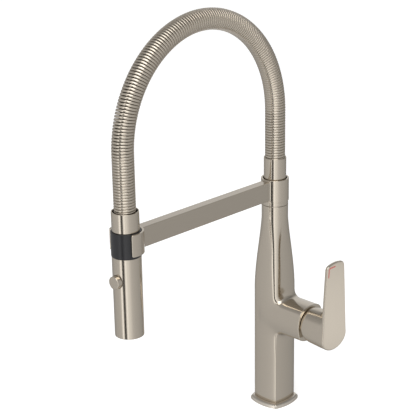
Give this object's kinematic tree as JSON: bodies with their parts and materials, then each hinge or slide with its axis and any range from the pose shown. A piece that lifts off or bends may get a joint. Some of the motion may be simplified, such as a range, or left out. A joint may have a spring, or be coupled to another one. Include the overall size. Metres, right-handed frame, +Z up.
{
  "type": "pre rinse faucet",
  "caption": "Single-lever kitchen faucet in pre-rinse style: deck column, swivelling arm, coil spring arch over the hose and a pull-down spray head in an open dock.",
  "frame": {"origin": "centre of the base flange's underside, on the column's axis, where the faucet stands on the deck", "axes": "+Z up along the column, -Y from the column to the spray head, +X from the column to the lever"},
  "size_m": [0.1211, 0.2872, 0.5158],
  "materials": {
    "brushed_nickel": "brushed nickel, warm satin",
    "brass": "machined brass",
    "copper": "copper tube",
    "steel": "plain stainless steel",
    "ceramic": "ground white ceramic",
    "white_plastic": "moulded white plastic",
    "grey_plastic": "moulded grey plastic",
    "black_plastic": "satin black plastic",
    "rubber": "matt rubber",
    "magnet": "plated magnet",
    "red_mark": "red enamel"
  },
  "bodies": {
    "body": {"base_flange": "brushed_nickel", "base_seal": "rubber", "body_shell": "brushed_nickel", "base_insert": "brass", "tube_plate": "brass", "hot_supply_tube": "copper", "cold_supply_tube": "copper", "valve_block": "brass", "mixed_water_riser": "copper", "cartridge_housing": "white_plastic", "cartridge_seal": "rubber", "fixed_ceramic_disc": "ceramic", "cartridge_nut": "brass", "dome_ring": "brushed_nickel", "spout_stem": "brass", "lower_stem_seal": "rubber", "upper_stem_seal": "rubber", "retaining_clip": "steel", "swivel_washer": "black_plastic"},
    "spout": {"swivel_ring": "brushed_nickel", "swivel_bush": "white_plastic", "swivel_stop_screw": "steel", "support_arm": "brushed_nickel", "dock_ring": "brushed_nickel", "dock_screw": "steel", "dock_magnet": "magnet", "spring_sleeve": "brushed_nickel", "sleeve_set_screw": "steel", "spring_arch": "brushed_nickel", "spring_drop": "brushed_nickel", "inner_hose": "grey_plastic", "upper_hose_crimp": "steel"},
    "hose_end": {"spring_ferrule": "brushed_nickel", "hose_end_fitting": "brass", "fitting_seal": "rubber", "lower_hose_crimp": "steel"},
    "spray_head": {"dock_collar": "black_plastic", "collar_magnet": "magnet", "spray_body": "brushed_nickel", "water_core": "grey_plastic", "check_valve": "white_plastic", "spray_face": "grey_plastic", "nozzle_mat": "rubber", "aerator": "white_plastic"},
    "button": {"spray_button": "brushed_nickel", "diverter_spool": "white_plastic", "button_spring": "steel"},
    "carrier": {"cartridge_yoke": "white_plastic", "yoke_pin": "steel"},
    "lever": {"lever": "brushed_nickel", "cartridge_stem": "steel", "lever_set_screw": "steel", "hot_mark": "red_mark"},
    "disc": {"moving_ceramic_disc": "ceramic", "disc_driver": "white_plastic"}
  },
  "joints": [
    {"name": "spout_swivel", "type": "hinge", "parent": "body", "child": "spout", "pos_m": [0, 0, 0.264], "axis": [0, 0, 1], "range_deg": [-90, 90]},
    {"name": "spray_pull", "type": "slide", "parent": "spout", "child": "hose_end", "axis": [0, 0, -1], "range_m": [0, 0.1], "stiffness_N_per_m": 60, "springref_m": -0.15, "deforming": ["spring_drop", "inner_hose"]},
    {"name": "spray_twist", "type": "hinge", "parent": "hose_end", "child": "spray_head", "pos_m": [0, -0.24, 0.3], "axis": [0, 0, 1], "continuous": true},
    {"name": "spray_button", "type": "slide", "parent": "spray_head", "child": "button", "axis": [-0.0349, 0.9994, 0], "range_m": [0, 0.0025], "stiffness_N_per_m": 800, "springref_m": -0.002, "deforming": ["button_spring"]},
    {"name": "lever_temperature", "type": "hinge", "parent": "body", "child": "carrier", "pos_m": [0.0485, 0, 0.1232], "axis": [1, 0, 0], "range_deg": [-45, 45]},
    {"name": "lever_flow", "type": "hinge", "parent": "carrier", "child": "lever", "pos_m": [0.0485, 0, 0.1232], "axis": [0, 1, 0], "range_deg": [0, 20]},
    {"name": "disc_slide", "type": "slide", "parent": "carrier", "child": "disc", "axis": [0, 0, 1], "range_m": [0, 0.0029]}
  ],
  "couplings": [
    {"joint": "disc_slide", "follows": "lever_flow", "m_per_rad": 0.008}
  ]
}
